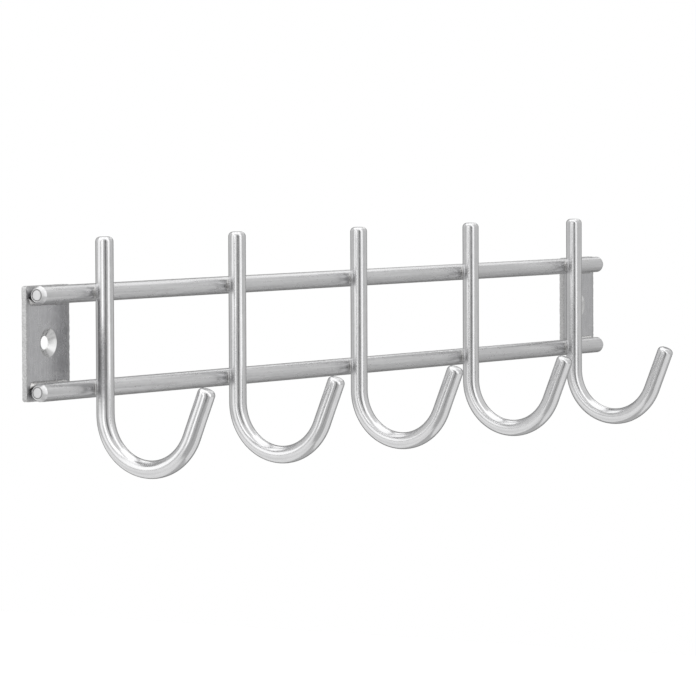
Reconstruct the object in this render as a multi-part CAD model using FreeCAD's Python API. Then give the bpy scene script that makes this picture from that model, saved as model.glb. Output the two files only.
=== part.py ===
import FreeCAD, Part
import math
import os

# Wall hook rack, in millimetres.
#
# Five hooks bent from round rod are welded to the front of two horizontal bars of the same rod.
# The bars are welded to a small plate at each end, and a countersunk hole in the middle of each
# plate takes a screw into the wall. Nothing moves.
#
# Frame: the origin is on the wall, midway between the two screw holes. +X runs along the rack,
# to the right as one faces it, -Y points out of the wall, and +Z points up.

# Driving dimensions: rod and bars
rod_diameter = 8.0
bar_length = 500.0
bar_spacing = 42.0  # between the axes of the upper and lower bar
bar_chamfer_radial = 1.1
bar_chamfer_axial = 2.2
bar_edge_round = 0.3

# Driving dimensions: wall plates
plate_width = 32.0
plate_overhang = 2.0  # how far a plate stands out past the ends of the bars
plate_thickness = 2.5
plate_corner_radius = 1.2  # of its outline, seen from the front
plate_edge_round = 0.3
screw_hole_diameter = 6.0
countersink_diameter = 12.4
countersink_depth = 1.9  # leaves a short straight land at the back of the plate

# Driving dimensions: hooks
hook_count = 5
hook_pitch = 105.0
shank_top_height = 45.5  # above the screw line
bend_centre_drop = 32.0  # below the screw line
bend_radius = 23.5  # of the rod's centre line
tip_lean_degrees = 22.0  # outward from vertical
tip_length = 22.5  # straight rod after the bend
rod_end_round = 2.2

# Driving dimensions: welds
weld_set_down = 0.3  # how far a hook and a bar sink into each other
hook_weld_radius = 3.5
hook_weld_half_thickness = 1.5
plate_weld_length = 28.0
plate_weld_root = 1.4  # from the bar's line of contact to the weld's inner edge
plate_weld_reach = 4.8  # from that line to the weld's outer edge on the plate
plate_weld_climb_degrees = 58.0  # how far round the bar the weld climbs
plate_weld_crown = 0.3  # how far the weld's face bulges

# Derived values
rod_radius = rod_diameter / 2
plate_height = bar_spacing + rod_diameter  # flush with the outer sides of both bars
plate_centre_x = bar_length / 2 + plate_overhang - plate_width / 2
bar_y = -(plate_thickness + rod_radius)
shank_y = bar_y - rod_diameter + weld_set_down
contact_y = bar_y - rod_radius + weld_set_down / 2
bar_heights = {"upper": bar_spacing / 2, "lower": -bar_spacing / 2}
plate_centres = {"left": -plate_centre_x, "right": plate_centre_x}
match_tolerance = 0.01

Vector = FreeCAD.Vector
X_AXIS = Vector(1, 0, 0)
Y_AXIS = Vector(0, 1, 0)
Z_AXIS = Vector(0, 0, 1)


def hook_x(number):
    """Place of a hook along the rack; hook 1 is the leftmost."""
    return (number - (hook_count + 1) / 2) * hook_pitch


def circular_edges(shape, radius, axis):
    """The full-circle edges of the given radius whose circle faces along the axis."""
    found = []
    for edge in shape.Edges:
        is_circle = isinstance(edge.Curve, Part.Circle)
        if is_circle and abs(edge.Curve.Radius - radius) < match_tolerance:
            if edge.Curve.Axis.cross(axis).Length < match_tolerance:
                found.append(edge)
    return found


def is_at(edge, point):
    """Whether a circular edge is centred on a point."""
    return edge.Curve.Center.distanceToPoint(point) < match_tolerance


def is_along(edge, axis):
    """Whether an edge is a straight line parallel to an axis."""
    return isinstance(edge.Curve, Part.Line) and edge.Curve.Direction.cross(axis).Length < match_tolerance


def plain_bar(height):
    """A straight round bar along X, with a chamfered and slightly rounded edge at each end."""
    end_x = bar_length / 2
    facet_radius = rod_radius - bar_chamfer_radial
    shoulder_x = end_x - bar_chamfer_axial
    outline = [
        (-end_x, 0),
        (-end_x, facet_radius),
        (-shoulder_x, rod_radius),
        (shoulder_x, rod_radius),
        (end_x, facet_radius),
        (end_x, 0),
        (-end_x, 0),
    ]
    points = [Vector(x, bar_y, height + radius) for x, radius in outline]
    face = Part.Face(Part.makePolygon(points))
    bar = face.revolve(Vector(0, bar_y, height), X_AXIS, 360)
    edges = circular_edges(bar, facet_radius, X_AXIS) + circular_edges(bar, rod_radius, X_AXIS)
    return bar.makeFillet(bar_edge_round, edges)


def hook(number):
    """Straight shank, a bend in the Y-Z plane, and a short straight tip that leans outward."""
    x = hook_x(number)
    turn = math.radians(180 - tip_lean_degrees)
    centre = Vector(x, shank_y - bend_radius, -bend_centre_drop)

    def on_bend(angle):
        offset = Vector(0, math.cos(angle), -math.sin(angle))
        return centre + offset * bend_radius

    top = Vector(x, shank_y, shank_top_height)
    tip_direction = Vector(0, -math.sin(turn), -math.cos(turn))
    tip_end = on_bend(turn) + tip_direction * tip_length
    shank = Part.LineSegment(top, on_bend(0))
    bend = Part.Arc(on_bend(0), on_bend(turn / 2), on_bend(turn))
    tip = Part.LineSegment(on_bend(turn), tip_end)
    path = Part.Wire([shank.toShape(), bend.toShape(), tip.toShape()])
    section = Part.Face(Part.Wire(Part.makeCircle(rod_radius, top, Z_AXIS)))
    rod = path.makePipe(section)
    rims = circular_edges(rod, rod_radius, Z_AXIS) + circular_edges(rod, rod_radius, tip_direction)
    ends = [rim for rim in rims if is_at(rim, top) or is_at(rim, tip_end)]
    return rod.makeFillet(rod_end_round, ends)


def hook_weld(number, height, hook_shape, bar_shape):
    """The rim of metal squeezed out all round where a hook crosses a bar."""
    blob = Part.makeSphere(1)
    spread = FreeCAD.Matrix()
    spread.scale(hook_weld_radius, hook_weld_half_thickness, hook_weld_radius)
    spread.move(Vector(hook_x(number), contact_y, height))
    return blob.transformGeometry(spread).cut([hook_shape, bar_shape])


def plate_weld(plate_x, height):
    """A fillet weld along the inner side of a bar, in the corner between the bar and the plate."""
    inward = -math.copysign(1, height)
    start_x = plate_x - plate_weld_length / 2

    def point(y, distance):
        return Vector(start_x, y, height + inward * distance)

    def on_bar(angle):
        return point(bar_y + rod_radius * math.cos(angle), rod_radius * math.sin(angle))

    root_angle = math.asin(plate_weld_root / rod_radius)
    climb_angle = math.radians(plate_weld_climb_degrees)
    root_on_plate = point(-plate_thickness, plate_weld_root)
    toe_on_plate = point(-plate_thickness, plate_weld_reach)
    toe_on_bar = on_bar(climb_angle)
    chord = toe_on_bar - toe_on_plate
    outward = chord.cross(X_AXIS).normalize() * inward
    crown = (toe_on_plate + toe_on_bar) * 0.5 + outward * plate_weld_crown
    edges = [
        Part.LineSegment(root_on_plate, toe_on_plate).toShape(),
        Part.Arc(toe_on_plate, crown, toe_on_bar).toShape(),
        Part.Arc(toe_on_bar, on_bar((root_angle + climb_angle) / 2), on_bar(root_angle)).toShape(),
        Part.LineSegment(on_bar(root_angle), root_on_plate).toShape(),
    ]
    return Part.Face(Part.Wire(edges)).extrude(X_AXIS * plate_weld_length)


def wall_plate(plate_x):
    """A flat plate against the wall with one screw hole, countersunk from the front."""
    corner = Vector(plate_x - plate_width / 2, -plate_thickness, -plate_height / 2)
    blank = Part.makeBox(plate_width, plate_thickness, plate_height, corner)
    corner_edges = [edge for edge in blank.Edges if is_along(edge, Y_AXIS)]
    blank = blank.makeFillet(plate_corner_radius, corner_edges)
    rim_edges = [edge for edge in blank.Edges if not is_along(edge, Y_AXIS)]
    plate = blank.makeFillet(plate_edge_round, rim_edges)
    front = Vector(plate_x, -plate_thickness, 0)
    hole = Part.makeCylinder(screw_hole_diameter / 2, plate_thickness, front, Y_AXIS)
    cone = Part.makeCone(
        countersink_diameter / 2, screw_hole_diameter / 2, countersink_depth, front, Y_AXIS)
    return plate.cut([hole, cone])


def build_nodes():
    """Every piece of the rack, by node name."""
    nodes = {}
    for side, plate_x in plate_centres.items():
        nodes[f"wall_plate_{side}"] = wall_plate(plate_x)
        for level, height in bar_heights.items():
            nodes[f"weld_plate_{side}_{level}"] = plate_weld(plate_x, height)

    hooks = {number: hook(number) for number in range(1, hook_count + 1)}
    for level, height in bar_heights.items():
        bar = plain_bar(height)
        for number, hook_shape in hooks.items():
            nodes[f"weld_hook_{number}_{level}"] = hook_weld(number, height, hook_shape, bar)
        nodes[f"bar_{level}"] = bar.cut(list(hooks.values()))
    for number, hook_shape in hooks.items():
        nodes[f"hook_{number}"] = hook_shape
    return nodes


os.makedirs("parts", exist_ok=True)
for name, shape in build_nodes().items():
    solids = shape.Solids
    if len(solids) != 1 or not shape.isValid():
        raise RuntimeError(f"{name} is not one valid solid")
    solids[0].exportStep(f"parts/{name}.step")
    box = solids[0].optimalBoundingBox()
    size = f"{box.XLength:.1f} x {box.YLength:.1f} x {box.ZLength:.1f} mm"
    print(f"{name}: {size}, {solids[0].Volume:.1f} mm3")
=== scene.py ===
import math

import bmesh
import bpy
from mathutils import Matrix, Vector, noise


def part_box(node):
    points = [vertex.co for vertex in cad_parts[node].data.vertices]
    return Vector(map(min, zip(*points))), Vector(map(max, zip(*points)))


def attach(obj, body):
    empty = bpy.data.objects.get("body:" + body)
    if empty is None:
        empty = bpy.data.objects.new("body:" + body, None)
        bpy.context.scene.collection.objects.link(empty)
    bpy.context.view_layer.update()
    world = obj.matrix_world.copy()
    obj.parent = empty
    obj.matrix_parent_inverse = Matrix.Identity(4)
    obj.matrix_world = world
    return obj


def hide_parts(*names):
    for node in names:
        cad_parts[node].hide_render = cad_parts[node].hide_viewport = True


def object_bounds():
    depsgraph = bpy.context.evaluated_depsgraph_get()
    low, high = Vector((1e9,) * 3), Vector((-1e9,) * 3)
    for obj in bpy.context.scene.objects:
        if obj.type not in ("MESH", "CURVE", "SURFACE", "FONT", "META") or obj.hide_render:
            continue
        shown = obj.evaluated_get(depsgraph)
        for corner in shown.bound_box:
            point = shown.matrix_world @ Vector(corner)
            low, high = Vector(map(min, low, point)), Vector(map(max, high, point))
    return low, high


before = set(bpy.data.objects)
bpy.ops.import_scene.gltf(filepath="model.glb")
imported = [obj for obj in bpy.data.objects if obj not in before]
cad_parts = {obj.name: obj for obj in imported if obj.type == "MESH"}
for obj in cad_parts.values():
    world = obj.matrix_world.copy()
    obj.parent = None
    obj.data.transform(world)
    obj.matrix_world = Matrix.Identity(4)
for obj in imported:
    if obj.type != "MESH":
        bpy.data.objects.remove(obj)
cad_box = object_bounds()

# Wall hook rack in satin stainless steel. Lengths are in metres where no comment says otherwise,
# in the CAD frame: +X runs along the rack, -Y points out of the wall and +Z points up.

MM = 0.001

# Rods
ROD_RADIUS = 4.0 * MM
BEND_RADIUS = 23.5 * MM
TIP_LEAN = math.radians(22.0)
TIP_LENGTH = 22.5 * MM
ROD_END_ROUND = 2.2 * MM
BAR_CHAMFER_RADIAL = 1.1 * MM
BAR_CHAMFER_AXIAL = 2.2 * MM
BAR_EDGE_ROUND = 0.12 * MM
BAR_CUT_LENGTH = 0.9 * BAR_CHAMFER_AXIAL  # how far from its end a bar looks freshly cut
BAR_GROOVE_INSET = 0.45 * MM  # from the rim of the end face to the middle of the groove
BAR_GROOVE_DEPTH = 0.3 * MM

# Wall plates
SCREW_HOLE_RADIUS = 3.0 * MM
COUNTERSINK_RADIUS = 6.2 * MM
COUNTERSINK_DEPTH = 1.9 * MM
PLATE_CORNER_RADIUS = 1.2 * MM
PLATE_EDGE_ROUND = 0.3 * MM
RIM_ROUND = 0.12 * MM
RIM_MARGIN = 4 * RIM_ROUND  # flat round the hole on each face, where the rounding can start
LEAST_EDGE_WEAR = 0.4  # the edge's rounding, as a share of PLATE_EDGE_ROUND
MOST_EDGE_WEAR = 2.8
EDGE_WEAR_SIZE = 1.3 * MM
EDGE_NICK_SIZE = 0.7 * MM
EDGE_NICK_DEPTH = 0.11 * MM
SPECKLE_CONTRAST = 0.6

# Welds
HOOK_BEAD_RADIUS = 2.6 * MM
HOOK_BEAD_BULGE = 0.25 * MM
HOOK_BEAD_ROOT = 1.9 * MM
HOOK_BEAD_SINK = 0.1  # how far a bead sinks into each rod, as a share of the gap between them
PLATE_BEAD_ROOT = 1.4 * MM
PLATE_BEAD_REACH = 4.7 * MM
PLATE_BEAD_CLIMB = math.radians(57.0)
PLATE_BEAD_CROWN = 0.25 * MM
PLATE_BEAD_TAPER = 2.5 * MM
PLATE_BEAD_TIP = 0.3  # size of a bead's two tips, as a share of its full size
RIPPLE_PITCH = 1.1 * MM
RIPPLE_DEPTH = 0.14 * MM
BEAD_STEPS = 8  # across a bead, and along each ripple of a straight one

# Dull patches on the hooks: roughened, and darkened with painted shade
SHADED_SCUFF_CENTRE = 56.0 * MM  # below the top of a hook
SHADED_SCUFF_REACH = 17.0 * MM
SHADED_SCUFF_SIDE = math.radians(258.0)  # round the rod, from the outside of the bend
SHADED_SCUFF_SPREAD = math.radians(28.0)
SHADED_SCUFF_STRENGTHS = (1.0, 0.2, 0.1, 0.15, 0.4)  # of hooks 1 to 5

# Mesh density
AROUND_ROD = 64
AROUND_BEAD = 96
PLATE_EDGE_STEP = 0.5 * MM
SIDE_RINGS = 5
FACE_RINGS = 5
STRAIGHT_STEP = 4.0 * MM
BEND_STEP = 1.2 * MM
ROUND_STEPS = 5

# Patterns on the steel. Scales are per millimetre, and a small factor draws a pattern out.
DRAWN_OUT = (0.02, 1, 1)
CLOUDED = (0.3, 1, 1)
GROUND_UPRIGHT = (1, 1, 0.06)
TORN_THROUGH = (1, 0.5, 1)
DRAW_LINE_SCALE = 0.9
ROD_GRAIN_SCALE = 2.4
ROD_MOTTLE_SCALE = 0.8
SPECKLE_SCALE = 2.4
PIT_SCALE = 0.6
PLATE_GRAIN_SCALE = 2.6
PLATE_MOTTLE_SCALE = 0.26
TEAR_SCALE = 1.9
WELD_MOTTLE_SCALE = 0.9
SMOOTH = 1.0  # detail of a soft pattern
CRISP = 3.0  # detail of a fine one
NOISE_RANGE = (0.3, 0.7)  # what noise mostly stays between
ROD_PATTERN_RANGE = (1.5, 2.5)  # the same for the rods' summed patterns
PLATE_PATTERN_RANGE = (0.7, 1.3)  # and for the plates'
DRAW_LINE_WEIGHT = 2.0
PIT_RIM = (0.05, 0.13)  # where a pit is deepest and where it ends, from its centre
PIT_MOTTLE = (0.52, 0.6)  # the mottle at which pits begin to show, and show in full
FLECK_RANGE = (0.4, 0.6)
# the painted shade and roughening of a dull patch, between its flecks
LEAST_SHADE_AND_SCUFF = 0.6  # between the flecks of a dull patch, as a share of that in them

# Heights of the patterns, in millimetres
DRAW_LINE_HEIGHT = 0.02
ROD_MOTTLE_HEIGHT = 0.008
HOOK_PIT_DEPTH = 0.004
BAR_PIT_DEPTH = 0.001
DULL_HEIGHT = 0.03
PLATE_GRAIN_HEIGHT = 0.004
PLATE_MOTTLE_HEIGHT = 0.01
TEAR_HEIGHT = 0.04
WELD_HEIGHT = 0.02

# Roughness, from the smoothest places to the roughest, and what is added to it
HOOK_ROUGHNESS = (0.16, 0.22)
BAR_ROUGHNESS = (0.27, 0.34)
PLATE_ROUGHNESS = (0.22, 0.29)
WELD_ROUGHNESS = (0.24, 0.36)
PIT_ROUGHENING = 0.06
DULL_ROUGHENING = 0.2
CUT_ROUGHENING = 0.15

# Colours, from the darkest places to the brightest where there are two
ROD_TONES = ((0.58, 0.58, 0.585), (0.69, 0.69, 0.695))
PLATE_TONES = ((0.46, 0.46, 0.47), (0.56, 0.56, 0.57))
TORN_TONES = ((0.38, 0.38, 0.38), (0.54, 0.54, 0.54))
# darker than the rods: partly weld oxide, partly painted shade for beads in the bars' shadow
WELD_TONES = ((0.46, 0.455, 0.45), (0.64, 0.635, 0.63))
# painted shade on the hooks' left flanks, where their highlight fades between the bars
FLANK_SHADE_TONE = (0.2, 0.2, 0.205)
CUT_TONE = (0.6, 0.6, 0.605)
# painted shade at the bottom of the grooves in the bars' end faces
GROOVE_SHADE_TONE = (0.22, 0.22, 0.22)
MACHINED_TONE = (0.58, 0.58, 0.58)
FLOOR_TONE = (0.9, 0.9, 0.9, 1)
CARD_TONE = (0.25, 0.25, 0.25, 1)
ROOM_TONE = (0.8, 0.8, 0.8, 1)
WHITE = (1, 1, 1, 1)

# View
CAMERA_AZIMUTH = math.radians(-58.028)
CAMERA_ELEVATION = math.radians(2.717)
CAMERA_ROLL = math.radians(-0.256)
CAMERA_DISTANCE = 2.151
CAMERA_AIM = Vector((3.09, -6.05, -12.36)) * MM
LENS_MM = 233.2
SENSOR_MM = 36.0

# Studio
FLOOR_DROP = 0.30
FLOOR_SIZE = 3.2
FLOOR_ROUGHNESS = 0.9
FLOOR_GLOW = 0.6
SOFTBOX_POWER = 1.25  # watts for each square metre of a softbox's face, at brightness 1
ROOM_SLOPE = 0.7  # sine of the angle from level, down or up, where the glow stops changing
ROOM_LOW_GLOW = 0.76
ROOM_HIGH_GLOW = 1.1
DIM_SIDE = Vector((0.85, 0.53, 0))  # behind the rack, as the camera sees it
DIM_RANGE = (0.45, 0.95)  # cosines of the angles from that side where dimming starts and ends
DIM_GLOW = 0.4
RACK_MIDDLE = Vector((0, -0.03, 0))
LEFT_OF_MIDDLE = Vector((-0.1, 0, 0))
LEFT_HOOK = Vector((-0.21, -0.02, 0))

HOOKS = range(1, 6)
SIDES = ("left", "right")
LEVELS = ("upper", "lower")
X_AXIS = Vector((1, 0, 0))
Y_AXIS = Vector((0, 1, 0))
Z_AXIS = Vector((0, 0, 1))


# ---------------------------------------------------------------- mesh helpers

def add_object(name, data):
    """A new object in the scene."""
    thing = bpy.data.objects.new(name, data)
    bpy.context.scene.collection.objects.link(thing)
    return thing


def rectangle(name, width, height):
    """A flat mesh of one face that looks up, centred on the origin."""
    x, y = width / 2, height / 2
    mesh = bpy.data.meshes.new(name)
    mesh.from_pydata([(-x, -y, 0), (x, -y, 0), (x, y, 0), (-x, y, 0)], [], [(0, 1, 2, 3)])
    return mesh


def skin(name, rings, closed=False):
    """A mesh over rings of equally many points, with its faces turned outward. Closed rings form
    a tube whose ends meet, open ones are capped."""
    around = len(rings[0])
    points = [point for ring in rings for point in ring]
    faces = []
    spans = len(rings) if closed else len(rings) - 1
    for i in range(spans):
        here = i * around
        there = (i + 1) % len(rings) * around
        for j in range(around):
            k = (j + 1) % around
            faces.append((here + j, here + k, there + k, there + j))
    if not closed:
        last = (len(rings) - 1) * around
        for start, ring in ((0, rings[0]), (last, rings[-1])):
            hub = len(points)
            points.append(sum(ring, Vector()) / around)
            faces += [(hub, start + j, start + (j + 1) % around) for j in range(around)]
    mesh = bpy.data.meshes.new(name)
    mesh.from_pydata(points, [], faces)
    shell = bmesh.new()
    shell.from_mesh(mesh)
    bmesh.ops.recalc_face_normals(shell, faces=shell.faces)
    shell.to_mesh(mesh)
    shell.free()
    mesh.shade_smooth()
    return add_object(name, mesh)


def settle(piece, node, material):
    """Puts a finished piece in its CAD node's stead."""
    piece.data.materials.append(material)
    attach(piece, "root")
    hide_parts(node)


def rounded(corners, radius):
    """An open outline whose inner corners are rounded with short arcs."""
    outline = [corners[0]]
    for before, corner, after in zip(corners, corners[1:], corners[2:]):
        to_before = (before - corner).normalized()
        to_after = (after - corner).normalized()
        half = to_before.angle(to_after) / 2
        setback = radius / math.tan(half)
        centre = corner + (to_before + to_after).normalized() * radius / math.sin(half)
        first = (corner + to_before * setback - centre).normalized()
        last = (corner + to_after * setback - centre).normalized()
        for step in range(ROUND_STEPS + 1):
            outline.append(centre + first.slerp(last, step / ROUND_STEPS) * radius)
    outline.append(corners[-1])
    return outline


def evenly(start, end, step):
    """Distances from start to end, both included, about a step apart."""
    count = max(1, round((end - start) / step))
    return [start + (end - start) * i / count for i in range(count + 1)]


# ---------------------------------------------------------------- rods

def rod_rings(path, length, end_profile, stretches):
    """Rings round a path. path(s) gives the centre and the two directions square to the rod at
    distance s, and end_profile lists (distance from the end, radius). stretches lists where each
    stretch between the ends starts and how far apart its rings are."""
    stations = list(end_profile)
    end_length = end_profile[-1][0]
    edges = [end_length, *[start for start, _ in stretches[1:]], length - end_length]
    for (_, step), start, end in zip(stretches, edges, edges[1:]):
        stations += [(s, ROD_RADIUS) for s in evenly(start, end, step)[1:]]
    stations += [(length - distance, radius) for distance, radius in reversed(end_profile[:-1])]
    rings = []
    places = []
    for s, radius in stations:
        centre, side, up = path(s)
        ring = []
        for j in range(AROUND_ROD):
            angle = 2 * math.pi * j / AROUND_ROD
            across = radius * math.cos(angle)
            above = radius * math.sin(angle)
            ring.append(centre + side * across + up * above)
            places.append((s / MM, across / MM, above / MM))
        rings.append(ring)
    for s in (0, length):
        places.append((s / MM, 0, 0))
    return rings, places


def keep_places(piece, places):
    """Stores each point's place on the straightened rod, in millimetres, for the patterns."""
    layer = piece.data.attributes.new("rod_place", "FLOAT_VECTOR", "POINT")
    layer.data.foreach_set("vector", [value for place in places for value in place])


def keep_amounts(piece, name, amounts):
    """Stores one amount from 0 to 1 for each point, for the material to read."""
    layer = piece.data.attributes.new(name, "FLOAT", "POINT")
    layer.data.foreach_set("value", amounts)


def scuff_and_shade(place, strength):
    """How strongly a point on a hook's left flank is dulled: roughened, and darkened with painted
    shade.
    """
    along = (place[0] * MM - SHADED_SCUFF_CENTRE) / SHADED_SCUFF_REACH
    turned = math.atan2(place[2], place[1]) % (2 * math.pi) - SHADED_SCUFF_SIDE
    around = turned / SHADED_SCUFF_SPREAD
    return strength * math.exp(-along ** 4 - around ** 4)


def dome_profile():
    """A rod end rounded over its edge, as (distance from the end, radius)."""
    profile = []
    steps = 2 * ROUND_STEPS
    for step in range(steps + 1):
        angle = math.pi / 2 * step / steps
        distance = ROD_END_ROUND * (1 - math.cos(angle))
        profile.append((distance, ROD_RADIUS - ROD_END_ROUND * (1 - math.sin(angle))))
    return profile


def chamfer_profile():
    """A chamfered rod end with a fine groove inside its rim, as (distance from the end, radius)."""
    facet = ROD_RADIUS - BAR_CHAMFER_RADIAL
    corners = [
        Vector((0, facet - 4 * BAR_GROOVE_INSET)),
        Vector((0, facet - 2 * BAR_GROOVE_INSET)),
        Vector((BAR_GROOVE_DEPTH, facet - BAR_GROOVE_INSET)),
        Vector((0, facet)),
        Vector((BAR_CHAMFER_AXIAL, ROD_RADIUS)),
        Vector((2 * BAR_CHAMFER_AXIAL, ROD_RADIUS)),
    ]
    return [(point.x, point.y) for point in rounded(corners, BAR_EDGE_ROUND)]


def make_hook(number, material):
    """A shank, a round bend and a short straight tip, all one rod."""
    low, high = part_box(f"hook_{number}")
    x = (low.x + high.x) / 2
    shank_y = high.y - ROD_RADIUS
    bend_centre = Vector((x, shank_y - BEND_RADIUS, low.z + ROD_RADIUS + BEND_RADIUS))
    shank_length = high.z - bend_centre.z
    turn = math.pi - TIP_LEAN
    bend_length = turn * BEND_RADIUS

    def path(s):
        angle = min(max(s - shank_length, 0) / BEND_RADIUS, turn)
        spoke = Vector((0, math.cos(angle), -math.sin(angle)))
        heading = Vector((0, -math.sin(angle), -math.cos(angle)))
        on_bend = bend_centre + spoke * BEND_RADIUS
        if s < shank_length:
            centre = on_bend + heading * (s - shank_length)
        else:
            centre = on_bend + heading * max(0, s - shank_length - bend_length)
        return centre, spoke, X_AXIS

    length = shank_length + bend_length + TIP_LENGTH
    stretches = [(0, STRAIGHT_STEP), (shank_length, BEND_STEP),
                 (shank_length + bend_length, STRAIGHT_STEP)]
    rings, places = rod_rings(path, length, dome_profile(), stretches)
    piece = skin(f"bent_hook_{number}", rings)
    keep_places(piece, places)
    # painted shade and roughening on the hook's left flank
    strength = SHADED_SCUFF_STRENGTHS[number - 1]
    keep_amounts(piece, "scuff_and_shade", [scuff_and_shade(place, strength) for place in places])
    settle(piece, f"hook_{number}", material)


def from_end(place, length):
    """How far a point on a rod is from the nearer end."""
    return min(place[0] * MM, length - place[0] * MM)


def cut_finish(place, length):
    """1 where a bar looks freshly cut, at its end faces and on most of their chamfers."""
    return float(from_end(place, length) < BAR_CUT_LENGTH)


def painted_groove_shade(place, length):
    """1 at the bottom of the groove in a bar's end face, where painted shade darkens it."""
    inset = ROD_RADIUS - BAR_CHAMFER_RADIAL - math.hypot(place[1], place[2]) * MM
    deep = from_end(place, length) > BAR_GROOVE_DEPTH / 2
    return float(deep and inset > BAR_GROOVE_INSET / 2)


def make_bar(level, material):
    """A straight bar with chamfered ends."""
    low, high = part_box(f"bar_{level}")
    length = high.x - low.x
    start = Vector((low.x, (low.y + high.y) / 2, (low.z + high.z) / 2))

    def path(s):
        return start + X_AXIS * s, Z_AXIS, Y_AXIS

    rings, places = rod_rings(path, length, chamfer_profile(), [(0, STRAIGHT_STEP)])
    piece = skin(f"round_bar_{level}", rings)
    keep_places(piece, places)
    keep_amounts(piece, "cut_face", [cut_finish(place, length) for place in places])
    # the bottoms of the end-face grooves get painted shade
    keep_amounts(piece, "groove_shade", [painted_groove_shade(place, length) for place in places])
    settle(piece, f"bar_{level}", material)


# ---------------------------------------------------------------- wall plates

def speckle(point, size):
    """Smooth noise from 0 to 1 with patches of about the given size."""
    return min(max(0.5 + SPECKLE_CONTRAST * noise.noise(point / size), 0), 1)


def plate_outline(half_width, half_height):
    """Points round a rectangle with round corners in the X-Z plane, each with its way outward."""
    reach_x = half_width - PLATE_CORNER_RADIUS
    reach_z = half_height - PLATE_CORNER_RADIUS
    corners = []
    for quarter, (sx, sz) in enumerate(((1, 1), (-1, 1), (-1, -1), (1, -1))):
        for step in range(ROUND_STEPS + 1):
            angle = math.pi / 2 * (quarter + step / ROUND_STEPS)
            outward = Vector((math.cos(angle), 0, math.sin(angle)))
            hub = Vector((sx * reach_x, 0, sz * reach_z))
            corners.append((hub + outward * PLATE_CORNER_RADIUS, outward))
    spaced = []
    for (here, facing), (there, facing_next) in zip(corners, corners[1:] + corners[:1]):
        pieces = max(1, round((there - here).length / PLATE_EDGE_STEP))
        for i in range(pieces):
            outward = facing.lerp(facing_next, i / pieces).normalized()
            spaced.append((here.lerp(there, i / pieces), outward))
    return spaced


def make_plate(side, material):
    """A flat plate with a rough sheared edge and one countersunk screw hole."""
    low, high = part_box(f"wall_plate_{side}")
    centre = (low + high) / 2
    front, back = low.y, high.y
    outline = plate_outline((high.x - low.x) / 2, (high.z - low.z) / 2)
    wear = []
    for point, _ in outline:
        amount = speckle(point + centre, EDGE_WEAR_SIZE) ** 2
        wear.append(LEAST_EDGE_WEAR + (MOST_EDGE_WEAR - LEAST_EDGE_WEAR) * amount)

    def circle(radius, y):
        hub = Vector((centre.x, y, centre.z))
        return [hub + point.normalized() * radius for point, _ in outline]

    def rim(angle, face, inward):
        ring = []
        for (point, outward), worn in zip(outline, wear):
            radius = PLATE_EDGE_ROUND * worn
            moved = point - outward * radius * (1 - math.sin(angle))
            y = face + inward * radius * (1 - math.cos(angle))
            ring.append(Vector((centre.x + moved.x, y, centre.z + moved.z)))
        return ring

    def flat(inner, outer, count):
        return [[a.lerp(b, i / count) for a, b in zip(inner, outer)] for i in range(1, count)]

    def sheared(start, end, count):
        rings = flat(start, end, count)
        return [[point - outward * EDGE_NICK_DEPTH * speckle(point, EDGE_NICK_SIZE)
                 for point, (_, outward) in zip(ring, outline)] for ring in rings]

    cone_end = front + COUNTERSINK_DEPTH
    hole_outline = [
        Vector((COUNTERSINK_RADIUS + RIM_MARGIN, front)),
        Vector((COUNTERSINK_RADIUS, front)),
        Vector((SCREW_HOLE_RADIUS, cone_end)),
        Vector((SCREW_HOLE_RADIUS, back)),
        Vector((SCREW_HOLE_RADIUS + RIM_MARGIN, back)),
    ]
    hole = [circle(p.x, p.y) for p in rounded(hole_outline, RIM_ROUND)]
    angles = [math.pi / 2 * step / ROUND_STEPS for step in range(ROUND_STEPS + 1)]
    back_edge = [rim(angle, back, -1) for angle in angles]
    front_edge = [rim(angle, front, 1) for angle in reversed(angles)]
    band = back_edge + sheared(back_edge[-1], front_edge[0], SIDE_RINGS) + front_edge
    behind = flat(hole[-1], band[0], FACE_RINGS)
    ahead = flat(band[-1], hole[0], FACE_RINGS)
    piece = skin(f"screw_plate_{side}", [*hole, *behind, *band, *ahead], closed=True)
    stretches = ((hole[:1], 0, 0), (hole[1:-1], 1, 0), (hole[-1:] + behind, 0, 0),
                 (band, 0, 1), (ahead, 0, 0))
    machined = []
    cut_edge = []
    for rings, is_machined, is_cut in stretches:
        points = len(rings) * len(outline)
        machined += [is_machined] * points
        cut_edge += [is_cut] * points
    keep_amounts(piece, "machined", machined)
    keep_amounts(piece, "cut_edge", cut_edge)
    settle(piece, f"wall_plate_{side}", material)


# ---------------------------------------------------------------- welds

def ripple(distance):
    """Height of a weld's stacked ripples at a distance along it."""
    return RIPPLE_DEPTH * abs(math.sin(math.pi * distance / RIPPLE_PITCH))


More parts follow.
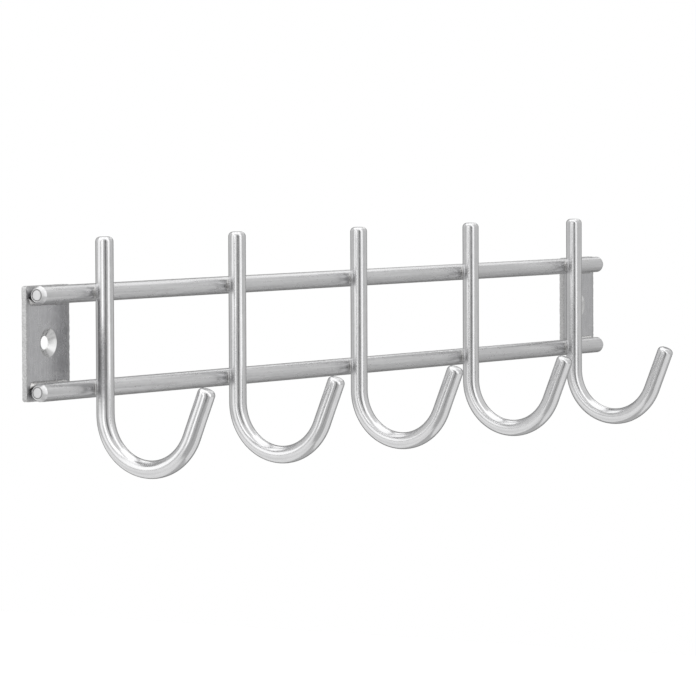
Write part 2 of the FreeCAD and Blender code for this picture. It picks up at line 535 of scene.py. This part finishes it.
def make_hook_weld(number, level, material):
    """A rippled bead all round where a hook crosses a bar, filling the crevice between them."""
    node = f"weld_hook_{number}_{level}"
    low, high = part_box(node)
    centre = (low + high) / 2
    hook_axis_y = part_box(f"hook_{number}")[1].y - ROD_RADIUS
    bar_low, bar_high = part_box(f"bar_{level}")
    bar_axis_y = (bar_low.y + bar_high.y) / 2
    rings = []
    for i in range(AROUND_BEAD):
        angle = 2 * math.pi * i / AROUND_BEAD
        bulge = HOOK_BEAD_BULGE + ripple(angle * HOOK_BEAD_RADIUS)

        def point(radius, share):
            across = radius * math.cos(angle)
            above = radius * math.sin(angle)
            on_hook = hook_axis_y + math.sqrt(ROD_RADIUS ** 2 - across ** 2)
            on_bar = bar_axis_y - math.sqrt(ROD_RADIUS ** 2 - above ** 2)
            y = on_hook + (on_bar - on_hook) * share
            return Vector((centre.x + across, y, centre.z + above))

        ring = [point(HOOK_BEAD_ROOT, share=0.5)]
        for step in range(BEAD_STEPS + 1):
            share = step / BEAD_STEPS
            radius = HOOK_BEAD_RADIUS + bulge * math.sin(math.pi * share)
            ring.append(point(radius, share * (1 + 2 * HOOK_BEAD_SINK) - HOOK_BEAD_SINK))
        rings.append(ring)
    piece = skin(f"rippled_{node}", rings, closed=True)
    settle(piece, node, material)


def make_plate_weld(side, level, material):
    """A rippled fillet along the inner side of a bar, in the corner with the plate."""
    node = f"weld_plate_{side}_{level}"
    low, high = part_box(node)
    bar_low, bar_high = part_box(f"bar_{level}")
    bar_y = (bar_low.y + bar_high.y) / 2
    bar_z = (bar_low.z + bar_high.z) / 2
    inward = -math.copysign(1, bar_z)
    plate_face = high.y
    root_angle = math.asin(PLATE_BEAD_ROOT / ROD_RADIUS)
    rings = []
    for x in evenly(low.x, high.x, RIPPLE_PITCH / BEAD_STEPS):
        to_tip = min(x - low.x, high.x - x)
        size = math.sqrt(math.sin(math.pi / 2 * min(1, to_tip / PLATE_BEAD_TAPER)))
        swell = PLATE_BEAD_TIP + (1 - PLATE_BEAD_TIP) * size
        reach = PLATE_BEAD_ROOT + (PLATE_BEAD_REACH - PLATE_BEAD_ROOT) * swell
        climb = root_angle + (PLATE_BEAD_CLIMB - root_angle) * swell
        toe_on_plate = Vector((x, plate_face, bar_z + inward * reach))
        toe_on_bar = Vector((x, bar_y + ROD_RADIUS * math.cos(climb),
                             bar_z + inward * ROD_RADIUS * math.sin(climb)))
        outward = Vector((0, toe_on_plate.z - toe_on_bar.z, toe_on_bar.y - toe_on_plate.y))
        outward = outward.normalized() * -inward
        crown = (PLATE_BEAD_CROWN - ripple(x)) * size
        ring = [Vector((x, plate_face, bar_z + inward * PLATE_BEAD_ROOT))]
        for step in range(BEAD_STEPS + 1):
            share = step / BEAD_STEPS
            lift = crown * math.sin(math.pi * share)
            ring.append(toe_on_plate.lerp(toe_on_bar, share) + outward * lift)
        rings.append(ring)
    piece = skin(f"rippled_{node}", rings)
    settle(piece, node, material)


# ---------------------------------------------------------------- materials

class Nodes:
    """Short forms for building a node tree."""

    MIX_COLOURS = (6, 7)  # the sockets of a Mix node that carry colour
    MIX_RESULT = 2

    def __init__(self, tree):
        self.tree = tree

    def add(self, kind, inputs=None, **settings):
        node = self.tree.nodes.new(kind)
        for key, value in settings.items():
            setattr(node, key, value)
        for key, value in (inputs or {}).items():
            self.set(node.inputs[key], value)
        return node

    def set(self, socket, value):
        if isinstance(value, bpy.types.NodeSocket):
            self.tree.links.new(value, socket)
        else:
            socket.default_value = value

    def noise(self, place, scale, detail):
        node = self.add("ShaderNodeTexNoise", {"Vector": place, "Scale": scale, "Detail": detail})
        return node.outputs["Fac"]

    def attribute(self, name, output):
        return self.add("ShaderNodeAttribute", attribute_name=name).outputs[output]

    def stretched(self, place, factors):
        node = self.add("ShaderNodeVectorMath", {0: place, 1: factors}, operation="MULTIPLY")
        return node.outputs["Vector"]

    def scaled(self, place, factor):
        return self.stretched(place, (factor, factor, factor))

    def spread(self, value, low, high, source=NOISE_RANGE, form="LINEAR"):
        """Rescales a value so that the ends of its source range give low and high."""
        node = self.add("ShaderNodeMapRange", {
            "Value": value, "From Min": source[0], "From Max": source[1],
            "To Min": low, "To Max": high}, interpolation_type=form)
        return node.outputs["Result"]

    def total(self, a, b):
        return self.add("ShaderNodeMath", {0: a, 1: b}, operation="ADD").outputs[0]

    def times(self, a, b):
        return self.add("ShaderNodeMath", {0: a, 1: b}, operation="MULTIPLY").outputs[0]

    def blend(self, factor, first, second):
        """Mixes two colours, each an RGB triple or another node's output."""
        node = self.add("ShaderNodeMix", {0: factor}, data_type="RGBA")
        for place, colour in zip(self.MIX_COLOURS, (first, second)):
            self.set(node.inputs[place], (*colour, 1) if isinstance(colour, tuple) else colour)
        return node.outputs[self.MIX_RESULT]

    def bump(self, height):
        """A surface raised by a height in millimetres."""
        node = self.add("ShaderNodeBump", {"Height": height, "Distance": MM, "Strength": 1.0})
        return node.outputs["Normal"]


class Surface(Nodes):
    """A new material and its nodes."""

    def __init__(self, name):
        self.material = bpy.data.materials.new(name)
        self.material.use_nodes = True
        super().__init__(self.material.node_tree)
        self.shader = self.tree.nodes["Principled BSDF"]

    def finish(self, **inputs):
        for key, value in inputs.items():
            self.set(self.shader.inputs[key.replace("_", " ")], value)
        return self.material


def rod_steel(name, roughness_range, pit_depth):
    """Satin stainless rod: draw lines along it, soft mottling and faint pits. Hooks have a dull patch
    darkened with painted shade, bars have cut ends and painted shade in the grooves of their end
    faces."""
    nodes = Surface(name)
    place = nodes.attribute("rod_place", "Vector")
    cut_face = nodes.attribute("cut_face", "Fac")
    groove_shade = nodes.attribute("groove_shade", "Fac")
    drawn_out = nodes.stretched(place, DRAWN_OUT)
    draw_lines = nodes.noise(drawn_out, DRAW_LINE_SCALE, SMOOTH)
    grain = nodes.noise(drawn_out, ROD_GRAIN_SCALE, SMOOTH)
    mottle = nodes.noise(nodes.stretched(place, CLOUDED), ROD_MOTTLE_SCALE, SMOOTH)
    speckles = nodes.noise(place, SPECKLE_SCALE, CRISP)
    cells = nodes.add("ShaderNodeTexVoronoi", {"Vector": place, "Scale": PIT_SCALE})
    pits = nodes.spread(cells.outputs["Distance"], 1.0, 0.0, PIT_RIM)
    pits = nodes.times(pits, nodes.spread(mottle, 0.0, 1.0, PIT_MOTTLE))
    flecks = nodes.spread(speckles, LEAST_SHADE_AND_SCUFF, 1.0, FLECK_RANGE)
    shade_and_scuff = nodes.times(nodes.attribute("scuff_and_shade", "Fac"), flecks)
    bright = nodes.total(nodes.total(grain, mottle), nodes.times(draw_lines, DRAW_LINE_WEIGHT))
    bright = nodes.spread(bright, 0.0, 1.0, ROD_PATTERN_RANGE)
    colour = nodes.blend(bright, *ROD_TONES)
    # painted shade darkens the hooks' dull patches
    colour = nodes.blend(shade_and_scuff, colour, FLANK_SHADE_TONE)
    colour = nodes.blend(cut_face, colour, CUT_TONE)
    # painted shade at the bottom of the bars' end-face grooves
    colour = nodes.blend(groove_shade, colour, GROOVE_SHADE_TONE)
    roughness = nodes.spread(mottle, *roughness_range)
    roughness = nodes.total(roughness, nodes.times(pits, PIT_ROUGHENING))
    roughness = nodes.total(roughness, nodes.times(shade_and_scuff, DULL_ROUGHENING))
    roughness = nodes.total(roughness, nodes.times(cut_face, CUT_ROUGHENING))
    height = nodes.times(draw_lines, DRAW_LINE_HEIGHT)
    height = nodes.total(height, nodes.times(mottle, ROD_MOTTLE_HEIGHT))
    height = nodes.total(height, nodes.times(pits, -pit_depth))
    height = nodes.total(height, nodes.times(nodes.times(shade_and_scuff, speckles), DULL_HEIGHT))
    normal = nodes.bump(height)
    return nodes.finish(Base_Color=colour, Metallic=1.0, Roughness=roughness, Normal=normal)


def plate_steel():
    """Satin stainless plate with faint upright grinding marks, soft blotches, a torn edge and a
    machined countersink."""
    nodes = Surface("satin_plate_steel")
    place = nodes.scaled(nodes.add("ShaderNodeTexCoord").outputs["Object"], 1 / MM)
    cut_edge = nodes.attribute("cut_edge", "Fac")
    machined = nodes.attribute("machined", "Fac")
    grain = nodes.noise(nodes.stretched(place, GROUND_UPRIGHT), PLATE_GRAIN_SCALE, SMOOTH)
    mottle = nodes.noise(place, PLATE_MOTTLE_SCALE, CRISP)
    tears = nodes.noise(nodes.stretched(place, TORN_THROUGH), TEAR_SCALE, CRISP)
    bright = nodes.spread(nodes.total(grain, mottle), 0.0, 1.0, PLATE_PATTERN_RANGE)
    torn = nodes.blend(nodes.spread(tears, 0.0, 1.0), *TORN_TONES)
    colour = nodes.blend(bright, *PLATE_TONES)
    colour = nodes.blend(cut_edge, colour, torn)
    colour = nodes.blend(machined, colour, MACHINED_TONE)
    roughness = nodes.spread(mottle, *PLATE_ROUGHNESS)
    roughness = nodes.total(roughness, nodes.times(cut_edge, CUT_ROUGHENING))
    height = nodes.times(grain, PLATE_GRAIN_HEIGHT)
    height = nodes.total(height, nodes.times(mottle, PLATE_MOTTLE_HEIGHT))
    height = nodes.total(height, nodes.times(nodes.times(cut_edge, tears), TEAR_HEIGHT))
    normal = nodes.bump(height)
    return nodes.finish(Base_Color=colour, Metallic=1.0, Roughness=roughness, Normal=normal)


def weld_steel():
    """Cleaned weld metal, a little rougher and warmer than the hooks, and darker: partly weld oxide,
    partly painted shade for beads that sit in the bars' shadow.
    """
    nodes = Surface("cleaned_weld_steel")
    place = nodes.scaled(nodes.add("ShaderNodeTexCoord").outputs["Object"], 1 / MM)
    mottle = nodes.noise(place, WELD_MOTTLE_SCALE, CRISP)
    colour = nodes.blend(nodes.spread(mottle, 0.0, 1.0), *WELD_TONES)
    roughness = nodes.spread(mottle, *WELD_ROUGHNESS)
    normal = nodes.bump(nodes.times(mottle, WELD_HEIGHT))
    return nodes.finish(Base_Color=colour, Metallic=1.0, Roughness=roughness, Normal=normal)


def floor_paint():
    """Plain white floor, lit enough to read as white."""
    nodes = Surface("white_floor")
    return nodes.finish(Base_Color=FLOOR_TONE, Roughness=FLOOR_ROUGHNESS,
                        Emission_Color=WHITE, Emission_Strength=FLOOR_GLOW)


# ---------------------------------------------------------------- studio

def aimed(thing, place, target):
    """Turns a light or a card at place so that its face looks at target."""
    thing.location = place
    thing.rotation_euler = (target - place).to_track_quat("-Z", "Y").to_euler()


def softbox(name, place, target, width, height, brightness):
    """A soft rectangular light, hidden from the camera."""
    lamp = bpy.data.lights.new(name, "AREA")
    lamp.shape = "RECTANGLE"
    lamp.size = width
    lamp.size_y = height
    lamp.energy = brightness * SOFTBOX_POWER * width * height
    box = add_object(name, lamp)
    aimed(box, Vector(place), target)
    box.visible_camera = False


def make_floor():
    """A plain pale floor well below the rack, which the steel doesn't mirror."""
    floor = add_object("floor", rectangle("floor", FLOOR_SIZE, FLOOR_SIZE))
    floor.location.z = cad_box[0].z - FLOOR_DROP
    floor.data.materials.append(floor_paint())
    floor.visible_glossy = False


def make_world():
    """An even white background to the camera. As a light, it is a room that brightens from the
    floor up and dims on the side behind the rack, which draws a dark outline on the steel."""
    world = bpy.data.worlds.new("studio")
    bpy.context.scene.world = world
    world.use_nodes = True
    nodes = Nodes(world.node_tree)
    direction = nodes.add("ShaderNodeTexCoord").outputs["Generated"]
    upward = nodes.add("ShaderNodeSeparateXYZ", {0: direction}).outputs["Z"]
    slope_range = (-ROOM_SLOPE, ROOM_SLOPE)
    slope = nodes.spread(upward, ROOM_LOW_GLOW, ROOM_HIGH_GLOW, slope_range, "SMOOTHSTEP")
    aside = nodes.add("ShaderNodeVectorMath", {0: direction, 1: DIM_SIDE}, operation="DOT_PRODUCT")
    fade = nodes.spread(aside.outputs["Value"], 1.0, DIM_GLOW, DIM_RANGE, "SMOOTHSTEP")
    room = nodes.add("ShaderNodeBackground", {
        "Color": ROOM_TONE, "Strength": nodes.times(slope, fade)})
    background = nodes.tree.nodes["Background"]
    nodes.set(background.inputs["Color"], WHITE)
    nodes.set(background.inputs["Strength"], 1.0)
    is_seen = nodes.add("ShaderNodeLightPath").outputs["Is Camera Ray"]
    mix = nodes.add("ShaderNodeMixShader", {
        0: is_seen, 1: room.outputs[0], 2: background.outputs[0]})
    nodes.set(nodes.tree.nodes["World Output"].inputs["Surface"], mix.outputs[0])


def make_lights():
    """Softboxes at the left, in front, at the right, overhead and below, as in a light tent."""
    softbox("left_light", (-0.62, -0.06, 0.06), LEFT_HOOK, width=0.16, height=0.6, brightness=2.5)
    softbox("near_left_light", (-0.40, 0.12, 0.12), LEFT_HOOK, width=0.2, height=0.45, brightness=1.7)
    softbox("front_light", (-0.21, -0.66, 0.35), LEFT_HOOK, width=0.36, height=1.5, brightness=2.0)
    softbox("right_light", (1.1, 0.2, 0.66), RACK_MIDDLE, width=0.5, height=0.34, brightness=2.2)
    softbox("high_right_light", (1.1, 0.0, 0.98), LEFT_HOOK, width=0.9, height=0.2, brightness=1.8)
    softbox("top_light", (0.0, 0.35, 1.8), RACK_MIDDLE, width=2.6, height=2.2, brightness=1.9)
    softbox("low_back_light", (-0.3, 0.3, -0.5), RACK_MIDDLE, width=1.2, height=0.9, brightness=1.1)
    softbox("low_front_light", (0.15, -0.5, -0.5), RACK_MIDDLE, width=0.8, height=0.7, brightness=1.0)


def dark_card(name, place, width, height):
    """A dark card seen only in the steel, as an unlit part of the room would be."""
    card = add_object(name, rectangle(name, width, height))
    card.data.materials.append(Surface(name).finish(Base_Color=CARD_TONE, Roughness=1.0))
    aimed(card, Vector(place), LEFT_OF_MIDDLE)
    card.visible_camera = False
    card.visible_diffuse = False
    card.visible_shadow = False


def make_dark_cards():
    """The unlit room beside the camera, and the dark end of the table at the low right."""
    dark_card("camera_side_card", (-1.25, -1.15, 0.05), width=0.55, height=2.0)
    dark_card("low_right_card", (1.25, 0.4, -0.78), width=0.7, height=0.5)


def make_camera():
    """A long lens from the left, a little above the rack."""
    right = Vector((math.cos(CAMERA_AZIMUTH), math.sin(CAMERA_AZIMUTH), 0))
    back = Vector((math.sin(CAMERA_AZIMUTH) * math.cos(CAMERA_ELEVATION),
                   -math.cos(CAMERA_AZIMUTH) * math.cos(CAMERA_ELEVATION),
                   math.sin(CAMERA_ELEVATION)))
    up = back.cross(right)
    turned = Matrix((right, up, back)).transposed() @ Matrix.Rotation(CAMERA_ROLL, 3, "Z")
    data = bpy.data.cameras.new("camera")
    data.lens = LENS_MM
    data.sensor_width = SENSOR_MM
    camera = add_object("camera", data)
    camera.location = CAMERA_AIM + back * CAMERA_DISTANCE
    camera.rotation_euler = turned.to_euler()
    bpy.context.scene.camera = camera


# ---------------------------------------------------------------- the rack

hook_material = rod_steel("satin_hook_steel", HOOK_ROUGHNESS, HOOK_PIT_DEPTH)
bar_material = rod_steel("satin_bar_steel", BAR_ROUGHNESS, BAR_PIT_DEPTH)
plate_material = plate_steel()
weld_material = weld_steel()

for number in HOOKS:
    make_hook(number, hook_material)
for level in LEVELS:
    make_bar(level, bar_material)
for side in SIDES:
    make_plate(side, plate_material)
for level in LEVELS:
    for number in HOOKS:
        make_hook_weld(number, level, weld_material)
    for side in SIDES:
        make_plate_weld(side, level, weld_material)

make_world()
make_floor()
make_lights()
make_dark_cards()
make_camera()
bpy.context.scene.view_settings.view_transform = "Standard"
